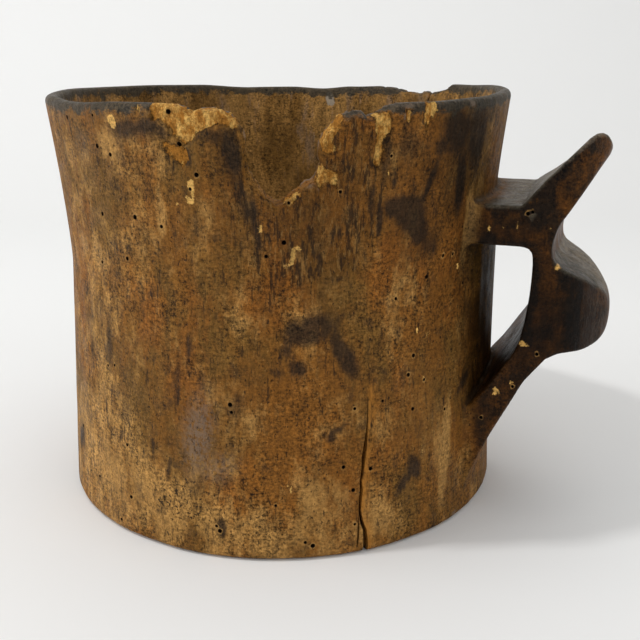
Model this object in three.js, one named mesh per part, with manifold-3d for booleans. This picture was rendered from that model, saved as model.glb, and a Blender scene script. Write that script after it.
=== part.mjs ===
// A hollowed-log drinking mug: wall and handle carved from one billet, a bottom board
// sprung into a groove near the foot, and a pitch bead that seals the board.
// Millimetres, +Z up, the handle towards +X.
import * as THREE from "three";
import { mergeVertices } from "three/addons/utils/BufferGeometryUtils.js";
import Module from "manifold-3d";

const wasm = await Module();
wasm.setup();

// Driving dimensions of the bowl.
const HEIGHT = 140;
const RIM_RADIUS = 80.4;
const WAIST_RADIUS = 75.6;
const FOOT_RADIUS = 79.8;
const WAIST_HEIGHT = 84;
const FLARE_POWER = 1.4;
const EDGE_ROUND = 2;
const RIM_WALL = 4.2;
const FOOT_WALL = 8.5;
const WAVE_START = 96;
const WEB_REACH = 77.8;

// Driving dimensions of the handle.
const HANDLE_WIDTH = 46;
const HANDLE_REACH = 118;
const HANDLE_EDGE = 0.9;
const ARM_TOP = 108.9;
const ARM_BOTTOM = 95;
const THUMB_CREASE = 89;
const FINGER_GAP_END = 93.6;
const ARM_TILT = 0.055;
const GAP_SKEW = 6;

// Driving dimensions of the bottom.
const GROOVE_HEIGHT = 12;
const GROOVE_DEPTH = 3;
const BOARD_THICKNESS = 10;
const BOARD_LIP = 3;
const FIT_GAP = 0.3;
const BEAD_SIZE = 3;

const SEGMENTS = 72;
const LEVELS = 14;

const radians = THREE.MathUtils.degToRad;

const outerRadius = (z) =>
  z > WAIST_HEIGHT
    ? WAIST_RADIUS +
      (RIM_RADIUS - WAIST_RADIUS) * ((z - WAIST_HEIGHT) / (HEIGHT - WAIST_HEIGHT)) ** FLARE_POWER
    : WAIST_RADIUS + (FOOT_RADIUS - WAIST_RADIUS) * (1 - z / WAIST_HEIGHT);

const innerRadius = (z) => outerRadius(z) - THREE.MathUtils.lerp(FOOT_WALL, RIM_WALL, z / HEIGHT);

// The rim rises and falls a little round the mouth, because the log dried unevenly:
// [degrees round from the handle, rise].
const RIM_RISES = [
  [-172, 0.9], [-148, 0.1], [-120, -0.5], [-104, 0.1], [-60, 0], [-38, 0.1], [-18, 0.8], [4, 1.5], [27, 2.2],
  [45, 1.4], [62, 0.4], [76, -0.1], [88, -0.6], [98, -1.7], [108, -1.1], [121, -1.1], [138, 0.3], [162, 0.4],
  [188, 0.9],
];

function rimWave(angle) {
  const degrees = THREE.MathUtils.euclideanModulo(THREE.MathUtils.radToDeg(angle) + 172, 360) - 172;
  const next = RIM_RISES.findIndex(([at]) => at > degrees);
  const [[from, low], [to, high]] = [RIM_RISES[next - 1], RIM_RISES[next]];
  return low + (high - low) * THREE.MathUtils.smoothstep(degrees, from, to);
}

function waveTheRim(geometry) {
  const at = geometry.getAttribute("position");
  for (let i = 0; i < at.count; i++) {
    const share = THREE.MathUtils.smoothstep(at.getZ(i), WAVE_START, HEIGHT);
    at.setZ(i, at.getZ(i) + share * rimWave(Math.atan2(at.getY(i), at.getX(i))));
  }
  return geometry;
}

// Turned solids stand on +Z.
const lathe = (profile) =>
  new THREE.LatheGeometry(
    profile.map(([r, z]) => new THREE.Vector2(r, z)),
    SEGMENTS,
  ).rotateX(Math.PI / 2);

const levels = (low, high) =>
  Array.from({ length: LEVELS + 1 }, (_, i) => THREE.MathUtils.lerp(low, high, i / LEVELS));

function toSolid(geometry) {
  const bare = geometry.clone().deleteAttribute("normal").deleteAttribute("uv");
  const merged = mergeVertices(bare, 1e-4);
  return new wasm.Manifold(
    new wasm.Mesh({
      numProp: 3,
      vertProperties: merged.attributes.position.array,
      triVerts: new Uint32Array(merged.index.array),
    }),
  );
}

function toGeometry(solid) {
  const { numProp, vertProperties, triVerts } = solid.getMesh();
  const at = new Float32Array((vertProperties.length / numProp) * 3);
  for (let i = 0; i < at.length / 3; i++)
    at.set(vertProperties.subarray(i * numProp, i * numProp + 3), i * 3);
  const geometry = new THREE.BufferGeometry();
  geometry.setAttribute("position", new THREE.BufferAttribute(at, 3));
  geometry.setIndex(new THREE.BufferAttribute(new Uint32Array(triVerts), 1));
  geometry.computeVertexNormals();
  return geometry;
}

// The outside of the log, filled.
function bowlOutside() {
  const profile = [
    [0, 0],
    [FOOT_RADIUS - EDGE_ROUND, 0],
    [FOOT_RADIUS - 0.3 * EDGE_ROUND, 0.7 * EDGE_ROUND],
    ...levels(2 * EDGE_ROUND, HEIGHT - EDGE_ROUND).map((z) => [outerRadius(z), z]),
    [outerRadius(HEIGHT) - 0.3 * EDGE_ROUND, HEIGHT - 0.3 * EDGE_ROUND],
    [outerRadius(HEIGHT) - EDGE_ROUND, HEIGHT],
    [0, HEIGHT],
  ];
  return toSolid(waveTheRim(lathe(profile)));
}

// The log is hollowed right through, so this cutter runs past both ends.
function hollow() {
  const above = HEIGHT + 10;
  const profile = [
    [0, -5],
    [innerRadius(0), -5],
    ...levels(0, HEIGHT).map((z) => [innerRadius(z), z]),
    [innerRadius(HEIGHT) + 0.5 * EDGE_ROUND, above],
    [0, above],
  ];
  return toSolid(lathe(profile));
}

// A tapered disc: the board itself, and a little larger all round, the groove that holds it.
function boardProfile(grow) {
  const body = innerRadius(GROOVE_HEIGHT) - 0.5 - FIT_GAP + grow;
  const lip = innerRadius(GROOVE_HEIGHT) + GROOVE_DEPTH - FIT_GAP + grow;
  const half = BOARD_THICKNESS / 2 + grow;
  const lipHalf = BOARD_LIP / 2 + grow;
  return [
    [0, GROOVE_HEIGHT - half],
    [body, GROOVE_HEIGHT - half],
    [lip, GROOVE_HEIGHT - lipHalf],
    [lip, GROOVE_HEIGHT + lipHalf],
    [body, GROOVE_HEIGHT + half],
    [0.6 * body, GROOVE_HEIGHT + half],
    [0, GROOVE_HEIGHT + half],
  ];
}

const spline = (path, points) => path.splineThru(points.map(([x, y]) => new THREE.Vector2(x, y)));

// The handle's side outline: strap, finger lobe, thumb rest and arm. x is the distance from the bowl's
// axis and y the height.
function handleOutline() {
  const shape = new THREE.Shape();
  shape.moveTo(58, 6);
  shape.lineTo(73, 6);
  spline(shape, [[82, 26.3], [89.2, 41.3], [95.9, 53.4], [99.8, 58.4], [104.5, 60.8], [110, 61.1], [115, 62]]);
  spline(shape, [[117.5, 66], [118, 71.5], [116.9, 76.3], [113, 81.6], [106.3, 86.5], [101.2, 89.4]]);
  spline(shape, [[99.4, 94.2], [100.2, 99.8], [103.1, 105.6]]);
  shape.lineTo(112.6, 122);
  spline(shape, [[113.9, 126], [112.9, 129.3], [110.4, 130.2], [108, 129]]);
  shape.lineTo(THUMB_CREASE, ARM_TOP);
  shape.lineTo(58, ARM_TOP);
  shape.closePath();
  return shape;
}

// The gap behind the handle. It runs on into the wall, where the web closes it again.
function gapOutline() {
  const shape = new THREE.Shape();
  shape.moveTo(66, ARM_BOTTOM);
  shape.lineTo(FINGER_GAP_END - 4, ARM_BOTTOM);
  shape.quadraticCurveTo(FINGER_GAP_END, ARM_BOTTOM, FINGER_GAP_END, ARM_BOTTOM - 5);
  spline(shape, [[93.4, 81], [92.4, 70.5], [91.2, 63.9], [86.2, 53.8], [80.6, 45.2], [74, 36]]);
  shape.lineTo(66, 25);
  shape.closePath();
  return shape;
}

// The arm's top slopes down to its right-hand side.
function tiltTheArm(geometry) {
  const at = geometry.getAttribute("position");
  for (let i = 0; i < at.count; i++) {
    const inward = 1 - THREE.MathUtils.smoothstep(at.getX(i), THUMB_CREASE, THUMB_CREASE + 7);
    const share = inward * THREE.MathUtils.smoothstep(at.getZ(i), ARM_BOTTOM, ARM_TOP - 2);
    at.setZ(i, at.getZ(i) + share * ARM_TILT * at.getY(i));
  }
  return geometry;
}

// The gap was cut askew: its lower end is higher on the left-hand side.
function skewTheGap(geometry) {
  const at = geometry.getAttribute("position");
  for (let i = 0; i < at.count; i++) {
    const share = 1 - THREE.MathUtils.smoothstep(at.getZ(i), 62, 80);
    at.setZ(i, at.getZ(i) + share * GAP_SKEW * (at.getY(i) / HANDLE_WIDTH + 0.5));
  }
  return geometry;
}

// Between the arm and the strap the wall stands a little proud.
function web() {
  const plan = [[60, -22], [73, -20.5], [76.2, -14.5], [WEB_REACH - 0.2, -6], [WEB_REACH, 5], [76.9, 14], [73.5, 21], [60, 22]];
  return toSolid(
    new THREE.ExtrudeGeometry(new THREE.Shape(plan.map(([x, y]) => new THREE.Vector2(x, y))), {
      depth: ARM_BOTTOM - 36,
      bevelEnabled: false,
    }).translate(0, 0, 38),
  );
}

// The handle seen from above: full width at the bowl, rounded off at its end.
function handlePlan() {
  const half = HANDLE_WIDTH / 2;
  const shape = new THREE.Shape();
  shape.moveTo(50, -half - 1);
  shape.lineTo(95, -half);
  shape.bezierCurveTo(108, -half, HANDLE_REACH, -0.72 * half, HANDLE_REACH, 0);
  shape.bezierCurveTo(HANDLE_REACH, 0.72 * half, 108, half, 95, half);
  shape.lineTo(50, half + 1);
  shape.closePath();
  return shape;
}

function handle() {
  const bevel = {
    bevelEnabled: true,
    bevelThickness: HANDLE_EDGE,
    bevelSize: HANDLE_EDGE,
    bevelOffset: -HANDLE_EDGE,
    bevelSegments: 1,
    curveSegments: 3,
  };
  const depth = HANDLE_WIDTH - 2 * HANDLE_EDGE;
  const side = new THREE.ExtrudeGeometry(handleOutline(), { ...bevel, depth })
    .translate(0, 0, -depth / 2)
    .rotateX(Math.PI / 2);
  const gap = new THREE.ExtrudeGeometry(gapOutline(), { depth: HANDLE_WIDTH + 4, bevelEnabled: false, curveSegments: 3 })
    .translate(0, 0, -HANDLE_WIDTH / 2 - 2)
    .rotateX(Math.PI / 2);
  const above = new THREE.ExtrudeGeometry(handlePlan(), {
    depth: HEIGHT,
    bevelEnabled: false,
    curveSegments: 10,
  });
  return toSolid(tiltTheArm(side)).intersect(toSolid(above)).subtract(toSolid(skewTheGap(gap))).add(web());
}

// A cutter for a piece missing from the wall: its outline is drawn on the wall as [degrees round, height],
// seen square on from middle, and it runs through the wall on that side only.
function wallCutter(middle, outline) {
  const shape = new THREE.Shape(
    outline.map(([angle, z]) => new THREE.Vector2(RIM_RADIUS * Math.sin(radians(angle - middle)), z)),
  );
  return toSolid(
    new THREE.ExtrudeGeometry(shape, { depth: HEIGHT, bevelEnabled: false })
      .rotateX(Math.PI / 2)
      .rotateZ(Math.PI / 2)
      .translate(20, 0, 0)
      .rotateZ(radians(middle)),
  );
}

// The large piece broken out of the front of the rim.
const frontBreak = () =>
  wallCutter(-67, [
    [-93, 145], [-92, 140.6], [-88.8, 139.5], [-87, 137], [-84.6, 138.6], [-81.6, 139.2], [-79.4, 137.6],
    [-77.2, 134.4], [-76.4, 130], [-76.2, 125], [-75.6, 121], [-74.2, 117.2], [-71, 113.9], [-68.8, 112.6],
    [-67, 114.4], [-64.8, 116.6], [-62, 119], [-60, 122.2], [-60.4, 125.4], [-60, 130.6], [-58.3, 133.6],
    [-56, 137], [-53, 138], [-50.4, 136.4], [-48, 137.8], [-45, 139.4], [-42, 140.6], [-41, 145],
  ]);

// The shallow chips and the short split in the rim beside the handle.
const rearChips = () =>
  wallCutter(65, [
    [49.4, 147], [50, 140.4], [53.2, 138.8], [57, 137.8], [58.5, 135.8], [59.5, 137.7], [60.7, 138.2],
    [62.2, 137.3], [66.3, 137.5], [71, 138.4], [75, 139.6], [76.6, 138.9], [77.4, 139.9], [78, 147],
  ]);

// The drying check that opens at the foot.
const footCheck = () =>
  wallCutter(-50, [
    [-50.7, -2], [-49.7, -2], [-49.9, 8], [-50.6, 16], [-50.4, 26], [-49.3, 38], [-49.1, 46], [-49.7, 36],
    [-51, 25], [-51.2, 16], [-50.6, 8],
  ]);

function cupBody() {
  const cutters = [hollow(), toSolid(lathe(boardProfile(FIT_GAP))), frontBreak(), rearChips(), footCheck()];
  const carved = cutters.reduce((left, cutter) => left.subtract(cutter), bowlOutside().add(handle()));
  return toGeometry(carved);
}

// The pitch lies in the corner between the wall and the board's top.
function pitchSeal() {
  const low = GROOVE_HEIGHT + BOARD_THICKNESS / 2 + FIT_GAP;
  const wall = innerRadius(low + BEAD_SIZE) - FIT_GAP;
  const rounded = wall - 0.36 * BEAD_SIZE;
  return lathe([
    [wall - BEAD_SIZE, low],
    [wall, low],
    [wall, low + BEAD_SIZE],
    [rounded, low + 0.64 * BEAD_SIZE],
    [wall - BEAD_SIZE, low],
  ]);
}

const finish = (color, roughness) => new THREE.MeshStandardMaterial({ color, roughness, metalness: 0 });

function piece(name, geometry, material) {
  const mesh = new THREE.Mesh(geometry, material);
  mesh.name = name;
  return mesh;
}

const cup = new THREE.Group();
cup.add(
  piece("cup_body", cupBody(), finish(0x6f4b2a, 0.62)),
  piece("bottom_board", lathe(boardProfile(0)), finish(0x6a4a2e, 0.72)),
  piece("pitch_seal", pitchSeal(), finish(0x1d1511, 0.45)),
);

// The origin is under the middle of the whole piece, handle included, on the face it stands on.
const bounds = new THREE.Box3().setFromObject(cup);
cup.position.x = -(bounds.min.x + bounds.max.x) / 2;

const part = new THREE.Group();
part.add(cup);
export default part;
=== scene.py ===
"""A hollowed-log drinking mug: the carved wall and handle, its bottom board and its pitch bead."""

import itertools
from math import cos, pi, radians, sin

import bpy
import numpy as np
from bpy.props import FloatProperty, FloatVectorProperty, IntProperty, PointerProperty
from mathutils import Euler, Matrix, Vector


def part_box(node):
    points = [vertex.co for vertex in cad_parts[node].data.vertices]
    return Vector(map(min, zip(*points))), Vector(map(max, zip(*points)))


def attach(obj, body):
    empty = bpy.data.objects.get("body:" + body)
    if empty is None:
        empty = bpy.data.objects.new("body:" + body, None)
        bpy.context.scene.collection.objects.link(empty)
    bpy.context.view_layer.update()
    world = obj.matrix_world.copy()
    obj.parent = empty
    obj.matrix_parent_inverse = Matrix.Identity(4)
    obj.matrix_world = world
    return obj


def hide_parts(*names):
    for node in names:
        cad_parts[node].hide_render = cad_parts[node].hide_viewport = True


bl_info = {
    "name": "Hollowed-log mug",
    "version": (1, 0, 0),
    "blender": (4, 5, 0),
    "location": "3D View > Sidebar > Mug",
    "description": "Carves a worn log mug around its packed frame and sets a small stage for it",
    "category": "Object",
}

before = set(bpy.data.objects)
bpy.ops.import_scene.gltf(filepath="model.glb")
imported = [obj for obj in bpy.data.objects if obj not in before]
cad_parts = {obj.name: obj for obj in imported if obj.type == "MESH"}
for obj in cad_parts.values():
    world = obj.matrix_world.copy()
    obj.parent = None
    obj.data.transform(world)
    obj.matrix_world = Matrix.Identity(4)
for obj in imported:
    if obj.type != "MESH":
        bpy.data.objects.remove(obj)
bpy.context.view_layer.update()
BODY = "root"
MM = 0.001

# Places that the frame gives. The bowl's axis stands over the middle of the bottom board.
BOARD_LOW, BOARD_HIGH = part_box("bottom_board")
SEAL_LOW, SEAL_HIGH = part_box("pitch_seal")
CUP_LOW, CUP_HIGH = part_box("cup_body")
MARGIN = Vector((3, 3, 3)) * MM
AXIS = Vector(((BOARD_LOW.x + BOARD_HIGH.x) / 2, 0, 0))
BOARD_RADIUS = (BOARD_HIGH.x - BOARD_LOW.x) / 2
BOARD_THICK = BOARD_HIGH.z - BOARD_LOW.z
BOARD_MIDDLE = (BOARD_LOW.z + BOARD_HIGH.z) / 2
BOARD_EDGE = 3 * MM
BOARD_BEVEL = 3.5 * MM

# The web behind the finger gap: the height of its middle and half its length.
WEB_MIDDLE = 68 * MM
WEB_HALF = 29 * MM

# Outlines on the wall are [degrees round from the handle, millimetres up].
FRONT_BREAK = [
    (-96, 146), (-94.6, 140.8), (-91.6, 140.5), (-89.6, 139.6), (-88.4, 138.2), (-87.1, 136.8),
    (-86, 137.9), (-84.6, 138.7), (-82.4, 139.2), (-80.8, 138.6), (-79.3, 137.4), (-78, 135.7),
    (-77.1, 133.6), (-76.4, 129.6), (-76.2, 125.5), (-75.8, 121.6), (-75, 119), (-73.6, 116.8),
    (-71.4, 114.2), (-69.6, 112.8), (-68.4, 112.7), (-67, 114), (-65, 116.4), (-63.4, 117.8), (-61.8, 119),
    (-60.4, 121.6), (-59.9, 123.6), (-60.5, 126.6), (-60.2, 130.2), (-59.2, 132.6), (-58, 134),
    (-56.4, 136.6), (-54.6, 137.6), (-52.6, 138), (-51.4, 137.4), (-50.3, 136.2), (-49.3, 137.2),
    (-47.6, 138), (-45.6, 139.2), (-43.4, 139.9), (-41.8, 141), (-41, 146),
]
REAR_CHIPS = [
    (48.6, 148), (49.8, 140.8), (51.4, 139.4), (53.2, 138.8), (55, 138.2), (57, 137.9), (57.9, 136.6),
    (58.4, 134.6), (58.8, 136.6), (59.5, 137.8), (60.7, 138.4), (61.5, 137.6), (62.8, 137.2),
    (66.3, 137.5), (69, 137.8), (71.2, 138.5), (73.6, 139.5), (75.6, 139.7), (76.3, 138.8), (76.9, 139.8),
    (79.4, 140), (80, 148),
]
RIM_RISES = [
    (-172, 0.9), (-148, 0.1), (-120, -0.5), (-104, 0.1), (-60, 0), (-38, 0.1), (-18, 0.8), (4, 1.5),
    (27, 2.2), (45, 1.4), (62, 0.4), (76, -0.1), (88, -0.6), (98, -1.7), (108, -1.1), (121, -1.1),
    (138, 0.3), (162, 0.4), (188, 0.9),
]
# Where the breaks are new; the second patch has dulled.
FRESH_PATCHES = [
    [
        (-95.8, 142), (-90.8, 142), (-84, 142), (-80, 139.5), (-77, 136), (-76.4, 134.2), (-78.4, 133.6),
        (-80.4, 134.9), (-82.4, 134.2), (-84.2, 132.6), (-85.6, 132.4), (-86.4, 130.6), (-87.4, 129.4),
        (-88.6, 129), (-89.6, 130.4), (-91.4, 132.2), (-92.4, 134.4), (-93.6, 135.8), (-95.6, 135.2),
    ],
    [
        (-93.6, 129.8), (-90.6, 129.4), (-88, 128.4), (-87.6, 125.2), (-89, 122.6), (-91.2, 124.4),
        (-92.6, 127),
    ],
    [(-99.6, 139.6), (-97.9, 139.6), (-98.1, 137.2), (-99.2, 137.2)],
    [
        (-55, 138.6), (-56.2, 134.4), (-57.8, 130.8), (-57.6, 127.4), (-59.4, 126), (-61.4, 130.6),
        (-59.2, 136.4),
    ],
    [
        (-61.8, 119.4), (-60.4, 124.6), (-59, 122.6), (-56.4, 121.4), (-57.2, 117.6), (-59.4, 118.6),
        (-60.6, 116.6),
    ],
    [(-68.6, 113.6), (-66.4, 115.4), (-64.6, 116.8), (-64.4, 115.2), (-66.1, 113.3), (-67.4, 111.6)],
    [
        (-49.8, 137.8), (-46.2, 138.2), (-45.2, 134.4), (-46.2, 131.6), (-47.2, 128), (-46.8, 124.6),
        (-48.4, 121.8), (-49.6, 123.6), (-49.2, 128), (-48.9, 131),
    ],
    [(-42.6, 138.6), (-40.8, 138.4), (-41, 134.6), (-42.4, 134.8)],
    [(-37.4, 140.4), (-34.4, 140.6), (-34.2, 137.6), (-35.6, 135.4), (-36.8, 131.4), (-37.8, 136.4)],
]
EATEN_ZONE = [
    (-80, 132), (-76, 138), (-60, 138), (-47, 134), (-46, 106), (-52, 92), (-60, 88), (-68, 84), (-76, 84),
    (-80, 108),
]
PITTED_ZONE = [(-99, 24), (-86, 27), (-82, 18), (-86, 11), (-98, 8), (-103, 14)]

# The drying check at the foot: [left side in degrees, right side in degrees, millimetres up].
FOOT_CHECK = [
    (-50.6, -49.2, -3), (-50.7, -49.4, 0), (-50.55, -49.3, 4), (-50.6, -49.6, 8), (-51.35, -50.5, 11.4),
    (-51.65, -51.0, 15), (-51.6, -50.8, 18.4), (-51.3, -50.5, 22), (-51.35, -50.7, 25), (-50.9, -50.2, 29),
    (-50.8, -49.7, 33), (-50.3, -49.4, 37), (-49.9, -49.3, 40), (-49.5, -49.2, 44), (-49.3, -49.2, 52),
]
FOOT_SLIVER = [(-52.2, -51.9, 3), (-52.0, -51.5, 7), (-51.9, -51.5, 10), (-51.7, -51.6, 13)]
CHECK_CUT = (60 * MM, 90 * MM)
CHECK_TOP = 56 * MM

# The side away from the large break, where marks and holes are scattered: degrees, then millimetres up.
FAR_MARKS = ((15, 225), (4, 136))
FAR_HOLES = ((25, 230), (4, 134))

# Flight holes that can be seen: [degrees, millimetres up].
WALL_HOLES = [
    (-112, 136.1), (-123, 134.8), (-108.1, 125), (-114.2, 106.4), (-103, 107), (-95.9, 105), (-107, 93.6),
    (-117.2, 90.4), (-88, 116.6), (-86.3, 120.8), (-89.6, 129.3), (-91.5, 138), (-112.1, 127.2),
    (-83.7, 9.6), (-84.5, 11.2), (-116.4, 56.4), (-113.6, 57.4), (-122, 14.6), (-108.5, 13.6),
    (-112.2, 3.8), (-55.2, 30.6), (-52.9, 22.4), (-52.6, 10.7), (-48.6, 28.7), (-45.4, 50.4), (-52.4, 49.3),
    (-38.2, 57.1), (-36.6, 63), (-27.7, 93.1), (-23.8, 92.9), (-32.7, 87.4), (-18.1, 81.9), (-20.9, 101),
    (-41.7, 82.2), (-67.1, 113), (-68.2, 101.7), (-73.6, 122.4), (-62.5, 5), (-64.2, 6.3), (-33.3, 54.1),
    (-37, 45.5), (-26, 41.6), (-109.5, 31.6), (-70.8, 19.2), (-72.1, 97.6), (-45.3, 125.6), (-56.3, 116),
    (-80.8, 51.8), (-80.5, 49.4),
]

# On the handle's near face: [millimetres from the bowl's axis, millimetres up].
HANDLE_HOLES = [(92.6, 106.2), (91.2, 105.6), (80.3, 35.7), (103, 89.6), (90, 48), (97, 60)]

# The distance painted where no flight hole is near, in millimetres.
NO_HOLE_NEAR = 4.0

# Marks on the wall: [degrees, millimetres up, half width, half height, lean in degrees, strength].
STAINS = [
    (-42.2, 110.5, 4.6, 3.4, 0, 1), (-38.6, 107.6, 5, 4.8, 35, 1), (-36.2, 102.6, 3.2, 4.4, 0, 1),
    (-33, 97, 4.6, 5, 0, 0.5), (-34.2, 117, 1.2, 8, -24, 0.8), (-31.4, 127.6, 3.4, 3, 0, 0.7),
    (-27, 131, 6, 7, 0, 0.85), (-19, 130, 5, 10, 0, 0.85), (-24, 115, 2.4, 10, 0, 0.8),
    (-15, 136, 7, 4, 0, 0.5), (-47.05, 105.5, 0.9, 5, 0, 0.9), (-49.2, 112, 1.2, 5, 0, 0.7),
    (-44.1, 117.8, 1, 1.8, 0, 0.7), (-62.9, 75.3, 7.6, 4, 10, 0.95), (-54.8, 66.5, 2.6, 8.6, 30, 0.9),
    (-68.1, 68.9, 1.8, 2.2, 0, 0.75), (-65.5, 63.2, 3, 2.4, 0, 0.75), (-69.9, 62.7, 3.4, 0.9, 0, 0.75),
    (-56.6, 90.2, 4.6, 0.7, 18, 0.55), (-54, 79, 7, 0.8, 8, 0.45), (-58.4, 41, 2.2, 2, 0, 0.75),
    (-56.9, 42.6, 3.8, 0.9, 30, 0.75), (-62, 37, 4, 2.6, 20, 0.4), (-39.2, 22, 1.5, 7, -40, 0.9),
    (-36.6, 25.6, 2.4, 3.8, 20, 1), (-59.8, 85, 1.4, 2.4, 0, 0.4), (-47.6, 60.9, 1.6, 1.6, 0, 0.4),
    (-39.6, 58.4, 2, 4, 0, 0.45), (-124.4, 58.2, 1.1, 6, 0, 0.6), (-115.6, 64.6, 2, 7, 0, 0.5),
    (-90.4, 69.1, 1, 4, 0, 0.65), (-93.7, 57, 1.6, 7, -5, 0.55), (-79.5, 51.2, 2.6, 6, -3, 0.45),
    (-96.4, 28, 0.8, 4.6, -12, 0.7), (-83.4, 11, 1.6, 3.2, 0, 0.9), (-82.6, 26, 3, 2.6, 0, 0.45),
    (-70.8, 61.9, 4, 1.6, 0, 0.4), (-102, 132.6, 8, 3, 0, 0.62), (-97, 133.6, 5, 2.4, 0, 0.75),
    (-93.6, 132.6, 2.6, 2.2, 0, 0.7), (-88, 125.6, 1.1, 2.6, 0, 0.8), (-81, 131.6, 6, 2.2, 0, 0.55),
    (-78.6, 126.4, 2.6, 6, 10, 0.72), (-77.2, 115.5, 1.6, 8, 14, 0.6), (-74.4, 108, 1.6, 9, 8, 0.6),
    (-60.6, 95, 0.8, 4.4, 0, 0.7), (-82, 103, 7, 1.4, 0, 0.35), (-87.4, 105.4, 1.1, 5, 0, 0.4),
    (-62, 106, 10, 10, 0, 0.3), (-46.5, 126, 2, 9, 0, 0.5), (-41, 129, 5, 5, 0, 0.45),
    (-18, 48, 1.6, 6, -50, 0.7),
]
# Grime and painted shade: the wall darkened beside the handle, on the web behind the finger gap and on the
# side away from the light.
GRIME_AND_SHADE = [
    (-24, 120, 20, 20, 0, 0.8), (-10, 64, 12, 36, 0, 1), (-16, 92, 10, 18, 0, 0.8),
    (-34, 104, 12, 12, 0, 0.5), (-30, 78, 12, 16, 0, 0.3), (-42, 126, 10, 12, 0, 0.35),
    (-80, 124, 5, 12, 0, 0.4), (-24, 12, 8, 9, 0, 0.25), (-60, 112, 14, 20, 0, 0.2),
]
SCUFFS = [(-88.6, 41, 4.4, 11, -8, 1), (-84, 31, 6, 4, 20, 0.6), (-118, 127, 4, 4, 0, 0.4)]
PALE_ZONES = [
    (-122, 22, 22, 30, 0, 0.7), (-101, 14, 20, 14, 0, 0.75), (-76, 8, 26, 9, 0, 0.55),
    (-124, 96, 12, 34, 0, 0.45), (-60, 14, 14, 14, 0, 0.4), (-44, 10, 16, 8, 0, 0.35),
    (-26, 26, 2.4, 18, -8, 1), (-104, 124, 8, 6, 0, 0.35), (-108, 127, 6, 3, -30, 0.8),
    (-95.6, 109, 2, 6, 0, 0.8), (-102, 100, 5, 6, 0, 0.6), (-18.6, 101, 2, 13, 0, 1),
]
RED_ZONES = [
    (-72, 86, 12, 10, 0, 0.7), (-92, 78, 14, 12, 0, 0.5), (-44, 92, 9, 12, 0, 0.4),
    (-22, 80, 8, 12, 0, 0.6),
]
CHIPS = [
    (-106, 134.8, 1.6, 2, 10, 1), (-87.6, 117.6, 1.4, 1.8, 0, 1), (-88.3, 113.4, 1.5, 1.4, 0, 0.9),
    (-91.2, 112.6, 1.4, 0.8, 0, 0.7), (-73, 105.2, 0.9, 1, 0, 0.9), (-65.9, 99.2, 2, 0.7, 15, 1),
    (-67.2, 95.5, 2, 0.7, 30, 0.9), (-45.9, 121, 0.9, 0.5, -40, 0.8), (-32, 68.9, 0.9, 0.8, 0, 1),
    (-35.5, 70.8, 0.6, 0.6, 0, 0.9), (-33.6, 54.4, 0.6, 0.7, 0, 1), (-64.1, 90.5, 0.7, 0.5, 0, 0.9),
    (-44.9, 70, 0.6, 1.8, 0, 0.7), (-20.9, 87.6, 0.5, 2, 15, 0.8), (-23.3, 79, 0.5, 1, 0, 0.8),
    (-57.9, 104.8, 0.4, 0.5, 0, 0.9), (-67.6, 24.6, 0.5, 1.6, 15, 0.9), (-66.6, 27, 0.5, 0.5, 0, 0.9),
    (-34, 31, 0.6, 3.4, 0, 0.6),
]

# Pale crust on the lining near the rim.
LINING_BLOTS = [(94.8, 134.2, 2, 3, -20, 1), (92, 136, 2.4, 1.2, 0, 0.8), (100, 118, 0.8, 4, 0, 0.5)]

# Marks on the handle's near face: [from the axis, up, half width, half height, lean in degrees, strength].
HANDLE_STAINS = [
    (109.8, 75.5, 4.4, 10.5, -6, 1), (110.6, 127.6, 3.4, 2.6, 0, 1), (100.4, 120.6, 1.5, 14, -38, 1),
    (95, 105.6, 4, 3.6, 0, 0.7), (84, 108, 9, 1.6, 0, 0.9), (83, 95.6, 9, 1, 0, 0.8),
    (101.6, 97, 2, 5, 0, 0.5), (79, 30, 2.6, 5, -20, 0.5), (104, 86.6, 3, 1.6, 30, 0.7),
    (94, 78, 1.2, 14, -4, 0.5),
]
HANDLE_CHIPS = [
    (79.5, 101.3, 0.9, 0.9, 0, 1), (88.3, 102.4, 0.4, 2.4, 0, 0.8), (101.3, 89, 1.2, 0.9, 0, 0.8),
    (92.6, 63.3, 1.6, 1, 10, 1), (85.4, 45.5, 2.2, 1.1, 130, 1), (89.6, 49.6, 0.7, 0.7, 0, 0.9),
    (109, 81.8, 0.8, 1, 20, 0.7), (112.8, 78, 0.6, 1, 0, 0.6), (108.6, 66.2, 0.9, 0.7, 0, 0.7),
    (83.6, 100.6, 0.8, 0.4, 20, 0.7), (98.6, 101, 0.5, 0.9, 20, 0.6), (79.6, 30, 0.3, 2.4, 20, 0.6),
]


def length(name, description, default):
    """A length that a user can change."""
    return FloatProperty(name=name, description=description, default=default, unit="LENGTH")


class MugSizes(bpy.types.PropertyGroup):
    """Sizes of the carved wall and handle."""

    height: length("Height", "Foot to rim", 140 * MM)
    rim_radius: length("Rim radius", "Outside", 80.4 * MM)
    waist_radius: length("Waist radius", "Outside", 75.6 * MM)
    foot_radius: length("Foot radius", "Outside", 79.8 * MM)
    waist_height: length("Waist height", "Foot to waist", 84 * MM)
    rim_wall: length("Wall at rim", "Thickness", 4.2 * MM)
    foot_wall: length("Wall at foot", "Thickness", 8.5 * MM)
    handle_width: length("Handle width", "Side to side", 46 * MM)
    groove_gap: length("Groove gap", "Round the board", 0.3 * MM)


class MugWear(bpy.types.PropertyGroup):
    """How old and worn the mug is."""

    grid: length("Carving step", "Finest cut", 1.0 * MM)
    faces: IntProperty(name="Body triangles", description="After thinning", default=176000)
    hand_marks: length("Hand marks", "Depth outside", 0.3 * MM)
    gouge_marks: length("Gouge marks", "Depth inside", 0.4 * MM)
    raggedness: length("Raggedness", "Of broken edges", 0.9 * MM)
    hole_radius: length("Flight hole radius", "Mean", 0.55 * MM)
    hole_depth: length("Flight hole depth", "Below the skin", 3 * MM)
    more_holes: IntProperty(name="More holes", description="Scattered on the far side", default=46)
    seed: IntProperty(name="Seed", description="For everything scattered", default=11)


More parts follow.
